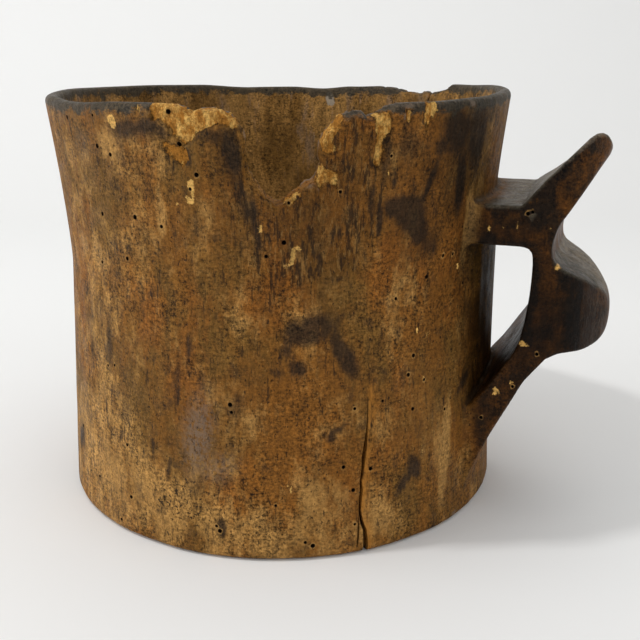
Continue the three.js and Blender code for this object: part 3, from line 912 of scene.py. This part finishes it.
    # Flight holes: a pale ring round each, and painted shade blackening its inside.
    hole = f.plus(f.field("bore"), f.swing(f.noise(0.8 * MM, shift=7.2), 1.4))
    ring = f.times(f.between(hole, 0.65, 0.3), f.between(f.noise(9 * MM, 1, 1, shift=1.1), 0.45, 0.6))
    colour = f.mix(f.times(ring, 0.8), colour, colours.tan)
    colour = f.mix(f.between(f.field("bore"), 0.12, 0.0), colour, colours.dark)

    roughness = f.plus(f.between(f.noise(5 * MM, 1.5, 6, 0.7, shift=6.6), 0.3, 0.7, 0.24), 0.46)
    roughness = f.minus(roughness, f.times(polish, 0.18))
    roughness = f.minus(roughness, f.times(rim, 0.12))
    roughness = f.plus(roughness, f.times(fresh, 0.30))
    f.shader.inputs["Specular IOR Level"].default_value = 0.09

    relief = f.bump(grain, 0.35 * MM)
    relief = f.bump(speck, 0.16 * MM, relief)
    relief = f.bump(fibre, 0.12 * MM, relief)
    relief = f.bump(f.times(streak, f.plus(eaten, 0.1)), -1.0 * MM, relief)
    relief = f.bump(f.math("MAXIMUM", pits, dash), -0.4 * MM, relief)
    relief = f.bump(f.times(fresh, f.noise(1.0 * MM, 2, 5, 0.7, shift=3.3)), 1.2 * MM, relief)
    relief = f.bump(f.noise(7 * MM, 1.2, 4, 0.6, shift=9.9), 0.5 * MM, relief)
    return f.close(colour, roughness, relief)


def board_wood(colours):
    """A flat-sawn board, stained by what was in the mug."""
    f = Finish("board_wood")
    where = f.node("ShaderNodeMapping", {"Vector": f.place, "Scale": (1, 0.12, 1)})[0]
    wavy = f.node("ShaderNodeTexNoise", {"Vector": where, "Scale": 60.0, "Detail": 3.0})[0]
    rings = f.node("ShaderNodeTexWave", {"Vector": where, "Scale": 55.0, "Distortion": 5.0, "Detail": 3.0,
                                         "Detail Scale": 1.4}, bands_direction="X")["Fac"]
    colour = f.mix(f.between(rings, 0.2, 0.9), colours.brown, colours.tan)
    fibre = f.node("ShaderNodeTexNoise", {"Vector": where, "Scale": 1500.0, "Detail": 3.0})[0]
    colour = f.shade(colour, f.plus(f.between(fibre, 0.25, 0.75, 0.6), 0.5))
    colour = f.mix(f.between(f.noise(24 * MM, 1, 5, shift=2), 0.42, 0.7, 0.8), colour, colours.dark)
    relief = f.bump(fibre, 0.15 * MM)
    relief = f.bump(rings, 0.2 * MM, relief)
    return f.close(colour, f.plus(f.between(wavy, 0.3, 0.7, 0.2), 0.58), relief)


def hard_pitch(colours):
    """Old pitch: black, lumpy and dull-glossy."""
    f = Finish("pitch")
    dust = f.between(f.noise(3 * MM, 1, 5, 0.65), 0.5, 0.75, 0.4)
    colour = f.mix(dust, colours.pitch, colours.scuff)
    relief = f.bump(f.noise(1.2 * MM, 1, 4), 0.3 * MM)
    return f.close(colour, f.plus(f.between(f.noise(2 * MM), 0.3, 0.7, 0.3), 0.3), relief)


def wall_place(angle, radius):
    """Gives how far round the wall each point lies from a place in degrees."""
    return lambda degrees: (np.mod(angle - radians(degrees) + pi, 2 * pi) - pi) * radius


def spots(across_from, z, listed):
    """The strongest of many soft spots at each point."""
    strongest = np.zeros(len(z))
    for place, up, half_width, half_height, lean, strength in listed:
        across = across_from(place)
        rise = z - up * MM
        tilt = radians(lean)
        u = (across * cos(tilt) + rise * sin(tilt)) / (half_width * MM)
        v = (rise * cos(tilt) - across * sin(tilt)) / (half_height * MM)
        strongest = np.maximum(strongest, strength * np.exp(-((0.75 * (u * u + v * v)) ** 1.5)))
    return strongest


def crack_offset(angle, z, radius):
    """How far each point lies to the right of the check at the foot, in millimetres."""
    left, right, up = np.array(FOOT_CHECK).T
    here = np.interp(z / MM, up, (left + right) / 2)
    return (angle - np.radians(here)) * radius / MM


def scattered_spots(seed, count, size=1.0):
    """Spots for the side away from the large break, in the same form as the listed ones."""
    rng = np.random.default_rng(seed)
    return [(rng.uniform(*FAR_MARKS[0]), rng.uniform(*FAR_MARKS[1]), size * rng.uniform(1, 7),
             size * rng.uniform(3, 9), rng.uniform(-30, 30), rng.uniform(0.3, 0.9)) for _ in range(count)]


def vertex_vectors(mesh, name):
    """A vector at each vertex: its place, "co", or its normal."""
    values = np.empty(len(mesh.vertices) * 3)
    mesh.vertices.foreach_get(name, values)
    return values.reshape(-1, 3)


def bend_of(mesh):
    """How sharply the surface turns at each point: above 0 on arrises, below 0 in hollows."""
    count = len(mesh.vertices)
    points = vertex_vectors(mesh, "co")
    normals = vertex_vectors(mesh, "normal")
    edges = np.empty(len(mesh.edges) * 2, int)
    mesh.edges.foreach_get("vertices", edges)
    a, b = edges.reshape(-1, 2).T
    way = points[b] - points[a]
    length = np.maximum(np.linalg.norm(way, axis=1), 1e-6)
    turn = np.einsum("ij,ij->i", way, normals[b] - normals[a]) / length**2
    links = np.maximum(np.bincount(np.r_[a, b], minlength=count), 1)
    bend = np.bincount(np.r_[a, b], np.r_[turn, turn], count) / links
    for _ in range(3):
        bend = 0.5 * bend + 0.5 * np.bincount(np.r_[a, b], np.r_[bend[b], bend[a]], count) / links
    return np.clip(bend * 2.2 * MM, -1.5, 1.5)


def paint_fields(obj, carving, places):
    """Writes the values that the wood's material reads: where the skin is worn, stained, broken or bored,
    and where shade and sheen are painted.
    """
    mesh = obj.data
    points = vertex_vectors(mesh, "co") - np.array(AXIS)
    x, y, z = points.T
    radius = np.hypot(x, y)
    angle = np.arctan2(y, x)
    around = angle * carving.sizes.rim_radius
    wall = carving.outer(z)
    depth = wall - radius
    polish = np.clip((-depth - 0.5 * MM) / (7 * MM), 0, 1)
    skin = np.clip(1.6 - depth / MM, 0, 1)
    inside = np.clip((carving.inner(z) + 1.2 * MM - radius) / MM, 0, 1)
    seed = carving.wear.seed
    fresh = -np.min([outline_distance(around, z, patch) for patch in carving.patches], axis=0) / MM
    aside = crack_offset(angle, z, wall)
    cracked = (z < CHECK_TOP) & (polish < 0.5)
    age = np.full(len(points), 0.0)
    age[outline_distance(around, z, carving.patches[1]) < 1.5 * MM] = 0.14
    bore = np.full(len(points), NO_HOLE_NEAR)
    for place, way, width in places:
        near = np.linalg.norm(points - place, axis=1) < 7 * MM
        from_axis = np.linalg.norm(np.cross(points[near] - place, way), axis=1)
        bore[near] = np.minimum(bore[near], (from_axis - width) / MM)
    upward = vertex_vectors(mesh, "normal")[:, 2]
    on_wall = wall_place(angle, wall)
    on_handle = np.clip((x - 70 * MM) / (4 * MM), 0, 1) * polish
    near_face = (y < -19 * MM) * on_handle
    zone = outline_distance(around, z, carving.on_wall(EATEN_ZONE))
    pit_zone = outline_distance(around, z, carving.on_wall(PITTED_ZONE))
    on_lining = wall_place(angle, carving.inner(z))
    chips = spots(on_wall, z, CHIPS + scattered_spots(seed + 3, 12, 0.25)) * skin * (polish < 0.5)
    fields = {
        "inside": inside,
        "polish": polish,
        "rim": np.clip((z - carving.rim(angle) + 6.5 * MM) / (6 * MM), 0, 1) * (polish < 0.5),
        "bend": bend_of(mesh) * (bore > NO_HOLE_NEAR - 0.1) * ((np.abs(aside) > 5) | (z > 60 * MM)),
        "stain": np.maximum(spots(on_wall, z, STAINS + scattered_spots(seed, 26)) * skin * (polish < 0.3),
                            spots(lambda place: x - place * MM, z, HANDLE_STAINS) * near_face),
        # Grime and painted shade, darkening the wall beside the handle.
        "grime_and_shade": spots(on_wall, z, GRIME_AND_SHADE + scattered_spots(seed + 4, 7, 3.0)) * skin,
        "scuff": spots(on_wall, z, SCUFFS) * skin,
        "pale": spots(on_wall, z, PALE_ZONES + scattered_spots(seed + 1, 8)) * skin,
        "red": spots(on_wall, z, RED_ZONES + scattered_spots(seed + 2, 8)) * skin,
        "chip": np.maximum(chips, spots(lambda place: x - place * MM, z, HANDLE_CHIPS) * near_face),
        "blot": spots(on_lining, z, LINING_BLOTS) * inside,
        "eaten": np.clip(0.5 - zone / (6 * MM), 0, 1) * skin,
        "pits": np.clip(0.5 - pit_zone / (6 * MM), 0, 1) * skin,
        # Upward faces of the handle, where the painted sheen is laid.
        "top": np.clip((upward - 0.25) / 0.35, 0, 1) * on_handle * (z > 66 * MM),
        "fresh": np.where(inside > 0.5, -4, np.clip(fresh, -4, 4)) - 4 * (z < 100 * MM),
        "age": age,
        "crack": np.clip((depth / MM + 0.6 - np.abs(aside)) / 1.5, 0, 1) * (np.abs(aside) < 2.2) * cracked,
        "lip": np.clip(aside / 0.3, 0, 1) * np.clip((3.4 - aside) / 2.4, 0, 1) * skin * cracked,
        "bore": bore,
    }
    for name, values in fields.items():
        attribute = mesh.attributes.new(name, "FLOAT", "POINT")
        attribute.data.foreach_set("value", values.astype(np.float32))


def finish_piece(obj, node, material):
    """Dresses a piece, smooths its shading and hands it to the frame."""
    obj.data.materials.clear()
    obj.data.materials.append(material)
    obj.data.shade_smooth()
    obj.data.set_sharp_from_angle(angle=radians(50))
    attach(obj, BODY)
    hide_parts(node)


class MUG_OT_carve_body(bpy.types.Operator):
    """Carve the wall and the handle from one piece, with its breaks, its check and its flight holes"""

    bl_idname = "mug.carve_body"
    bl_label = "Carve body"

    def execute(self, context):
        sizes, wear = context.scene.mug_sizes, context.scene.mug_wear
        carving = Carving(sizes, wear)
        step = wear.grid
        low = np.array(CUP_LOW - AXIS - MARGIN)
        high = np.array(CUP_HIGH - AXIS + MARGIN)
        field = sample(carving.distance, low, high, step)
        for _ in range(3):
            field = part_corners(field)
        points, faces = skin_mesh(field, low, step)
        points = settle(points, carving.distance)
        body = mesh_object("carved_body", points, faces)
        thin = body.modifiers.new("thin", "DECIMATE")
        thin.ratio = min(1.0, wear.faces / (2 * len(faces)))
        bake_modifiers(body)
        wood = carved_wood(context.scene.mug_colours)
        places = hole_places(carving)
        subtract(body, flight_hole_cutter(places, wear.hole_depth, wood))
        subtract(body, crack_wedge("foot_check_cutter", FOOT_CHECK))
        subtract(body, crack_wedge("foot_sliver_cutter", FOOT_SLIVER))
        body.data.transform(Matrix.Translation(AXIS))
        paint_fields(body, carving, places)
        finish_piece(body, "cup_body", wood)
        return {"FINISHED"}


def board_rule():
    """A round board: flat in the middle, bevelled to a thin edge, a little cupped, with saw marks."""
    rule = Rule("bottom_board", {"Radius": "Float", "Thickness": "Float", "Edge": "Float", "Bevel": "Float",
                                 "Cup": "Float", "Saw Mark": "Float", "Place": "Vector"})
    given = rule.given
    disc = rule.node("GeometryNodeMeshCylinder", {"Vertices": 160, "Side Segments": 3, "Fill Segments": 40,
                                                  "Radius": given["Radius"], "Depth": given["Thickness"]},
                     fill_type="NGON")[0]
    place = rule.node("GeometryNodeInputPosition")[0]
    apart = rule.node("ShaderNodeSeparateXYZ", {0: place})
    level = rule.node("ShaderNodeCombineXYZ", {0: apart[0], 1: apart[1]})[0]
    out = rule.node("ShaderNodeVectorMath", {0: level}, operation="LENGTH")["Value"]
    start = rule.minus(given["Radius"], given["Bevel"])
    radius = given["Radius"]
    share = rule.node("ShaderNodeMapRange", {"Value": out, "From Min": start, "From Max": radius})[0]
    thinner = rule.math("DIVIDE", given["Edge"], given["Thickness"])
    squeeze = rule.node("ShaderNodeMapRange", {"Value": share, "To Min": 1.0, "To Max": thinner})[0]
    flat = rule.times(apart[2], squeeze)
    across = rule.math("DIVIDE", apart[0], given["Radius"])
    cup = rule.times(rule.times(across, across), given["Cup"])
    saw = rule.times(rule.math("SINE", rule.times(apart[1], 1900.0)), given["Saw Mark"])
    inner = rule.minus(1.0, share)
    rise = rule.times(rule.plus(cup, saw), inner)
    placed = rule.node("ShaderNodeCombineXYZ", {0: apart[0], 1: apart[1], 2: rule.plus(flat, rise)})[0]
    shaped = rule.node("GeometryNodeSetPosition", {"Geometry": disc, "Position": placed})[0]
    moved = rule.node("GeometryNodeTransform", {"Geometry": shaped, "Translation": given["Place"]})[0]
    rule.close(moved)
    return rule


class MUG_OT_fit_board(bpy.types.Operator):
    """Make the bottom board, sprung into its groove near the foot"""

    bl_idname = "mug.fit_board"
    bl_label = "Fit bottom board"

    def execute(self, context):
        wood = board_wood(context.scene.mug_colours)
        board = mesh_object("fitted_board", [(0, 0, 0)], [])
        place = (BOARD_LOW + BOARD_HIGH) / 2
        board_rule().grow(board, {
            "Radius": BOARD_RADIUS, "Thickness": BOARD_THICK, "Edge": BOARD_EDGE, "Bevel": BOARD_BEVEL,
            "Cup": -0.4 * MM, "Saw Mark": 0.08 * MM, "Place": place, "Finish": wood})
        finish_piece(board, "bottom_board", wood)
        return {"FINISHED"}


def bead_rule():
    """A lumpy bead laid round a ring."""
    rule = Rule("pitch_bead", {"Ring Radius": "Float", "Bead Radius": "Float", "Lump": "Float",
                               "Seed": "Float", "Place": "Vector"})
    given = rule.given
    circle = "GeometryNodeCurvePrimitiveCircle"
    ring = rule.node(circle, {"Resolution": 300, "Radius": given["Ring Radius"]})[0]
    profile = rule.node(circle, {"Resolution": 14, "Radius": given["Bead Radius"]})[0]
    bead = rule.node("GeometryNodeCurveToMesh", {"Curve": ring, "Profile Curve": profile})[0]
    wild = rule.node("ShaderNodeTexNoise", {"W": given["Seed"], "Scale": 160.0, "Detail": 3.0},
                     noise_dimensions="4D")[0]
    lump = rule.times(rule.minus(wild, 0.5), given["Lump"])
    normal = rule.node("GeometryNodeInputNormal")[0]
    push = rule.node("ShaderNodeVectorMath", {0: normal, "Scale": lump}, operation="SCALE")[0]
    lumpy = rule.node("GeometryNodeSetPosition", {"Geometry": bead, "Offset": push})[0]
    moved = rule.node("GeometryNodeTransform", {"Geometry": lumpy, "Translation": given["Place"]})[0]
    rule.close(moved)
    return rule


class MUG_OT_run_pitch(bpy.types.Operator):
    """Run the bead of pitch round the corner over the board's edge"""

    bl_idname = "mug.run_pitch"
    bl_label = "Run pitch"

    def execute(self, context):
        pitch = hard_pitch(context.scene.mug_colours)
        bead = mesh_object("pitch_bead", [(0, 0, 0)], [])
        size = (SEAL_HIGH.z - SEAL_LOW.z) / 2
        place = Vector((AXIS.x, 0, SEAL_LOW.z + size))
        bead_rule().grow(bead, {
            "Ring Radius": (SEAL_HIGH.x - SEAL_LOW.x) / 2 - size, "Bead Radius": size, "Lump": 1.1 * MM,
            "Seed": float(context.scene.mug_wear.seed), "Place": place, "Finish": pitch})
        finish_piece(bead, "pitch_seal", pitch)
        return {"FINISHED"}


# The camera's place from the foot of the bowl's axis, and how many degrees it dips and turns.
CAMERA_PLACE = (0.1189, -0.3023, 0.1540)
CAMERA_DIP = 16.9
CAMERA_TURN = 19
LIT_HEIGHT = 70 * MM

# The backdrop, from the front of the floor to the top of the curve behind the mug, in metres.
FLOOR_FRONT, FLOOR_BACK = -0.9, 0.5
CURVE = 0.35
WALL_TOP = 1.4
HALF_BREADTH = 1.5
PAPER = (0.84, 0.84, 0.83)


def lamp(name, place, aim, size, watts):
    """A square soft light that faces a point."""
    light = bpy.data.lights.new(name, "AREA")
    light.size = size
    light.energy = watts
    obj = bpy.data.objects.new(name, light)
    obj.location = place
    obj.rotation_euler = (Vector(aim) - Vector(place)).to_track_quat("-Z", "Y").to_euler()
    bpy.context.scene.collection.objects.link(obj)


def backdrop():
    """A pale floor that curves up behind the mug."""
    profile = [(FLOOR_FRONT, 0.0), (FLOOR_BACK, 0.0)]
    turns = np.linspace(0, pi / 2, 16)[1:]
    profile += [(FLOOR_BACK + CURVE * sin(turn), CURVE - CURVE * cos(turn)) for turn in turns]
    profile.append((FLOOR_BACK + CURVE, WALL_TOP))
    points = [(side * HALF_BREADTH, y, z) for y, z in profile for side in (-1, 1)]
    faces = [(2 * i, 2 * i + 1, 2 * i + 3, 2 * i + 2) for i in range(len(profile) - 1)]
    floor = mesh_object("backdrop", points, faces)
    floor.data.shade_smooth()
    paper = Finish("backdrop_paper")
    relief = paper.bump(paper.noise(4 * MM), 0.02 * MM)
    floor.data.materials.append(paper.close(PAPER, 0.8, relief))
    return floor


class MUG_OT_set_stage(bpy.types.Operator):
    """Set the camera, the soft lights and the pale floor"""

    bl_idname = "mug.set_stage"
    bl_label = "Set stage"

    def execute(self, context):
        settings = context.scene.mug_stage
        camera = bpy.data.objects.new("camera", bpy.data.cameras.new("camera"))
        camera.data.lens = settings.lens
        camera.data.sensor_width = 36
        camera.location = AXIS + Vector(CAMERA_PLACE)
        camera.rotation_euler = Euler((radians(90 - CAMERA_DIP), 0, radians(CAMERA_TURN)))
        context.scene.collection.objects.link(camera)
        context.scene.camera = camera
        backdrop().data.transform(Matrix.Rotation(radians(CAMERA_TURN), 4, "Z"))
        middle = AXIS + Vector((0, 0, LIT_HEIGHT))
        lamp("key_light", (-0.43, -0.28, 1.0), middle, 0.06, settings.key)
        lamp("window_light", (-1.2, -0.6, 0.3), middle, 0.9, settings.window)
        lamp("top_light", (0.15, 0.2, 1.2), middle, 0.9, settings.top)
        lamp("fill_light", (0.95, -0.35, 0.55), middle, 1.0, settings.fill)
        world = bpy.data.worlds.new("room")
        world.use_nodes = True
        world.node_tree.nodes["Background"].inputs["Color"].default_value = (1, 1, 1, 1)
        world.node_tree.nodes["Background"].inputs["Strength"].default_value = settings.sky
        context.scene.world = world
        context.scene.view_settings.view_transform = "Standard"
        return {"FINISHED"}


class MUG_PT_tools(bpy.types.Panel):
    """The mug's sizes, wear, colours and makers"""

    bl_idname = "MUG_PT_tools"
    bl_label = "Hollowed-log mug"
    bl_space_type = "VIEW_3D"
    bl_region_type = "UI"
    bl_category = "Mug"

    def draw(self, context):
        for group in (context.scene.mug_sizes, context.scene.mug_wear, context.scene.mug_colours,
                      context.scene.mug_stage):
            box = self.layout.box()
            for name in group.__annotations__:
                box.prop(group, name)
        for operator in OPERATORS:
            self.layout.operator(operator.bl_idname)


GROUPS = {"mug_sizes": MugSizes, "mug_wear": MugWear, "mug_colours": MugColours, "mug_stage": StageSettings}
OPERATORS = (MUG_OT_carve_body, MUG_OT_fit_board, MUG_OT_run_pitch, MUG_OT_set_stage)


def register():
    for name, group in GROUPS.items():
        bpy.utils.register_class(group)
        setattr(bpy.types.Scene, name, PointerProperty(type=group))
    for operator in OPERATORS:
        bpy.utils.register_class(operator)
    bpy.utils.register_class(MUG_PT_tools)


def unregister():
    bpy.utils.unregister_class(MUG_PT_tools)
    for operator in reversed(OPERATORS):
        bpy.utils.unregister_class(operator)
    for name, group in GROUPS.items():
        delattr(bpy.types.Scene, name)
        bpy.utils.unregister_class(group)


def main():
    register()
    bpy.ops.mug.set_stage()
    bpy.ops.mug.carve_body()
    bpy.ops.mug.fit_board()
    bpy.ops.mug.run_pitch()


if __name__ == "__main__":
    main()
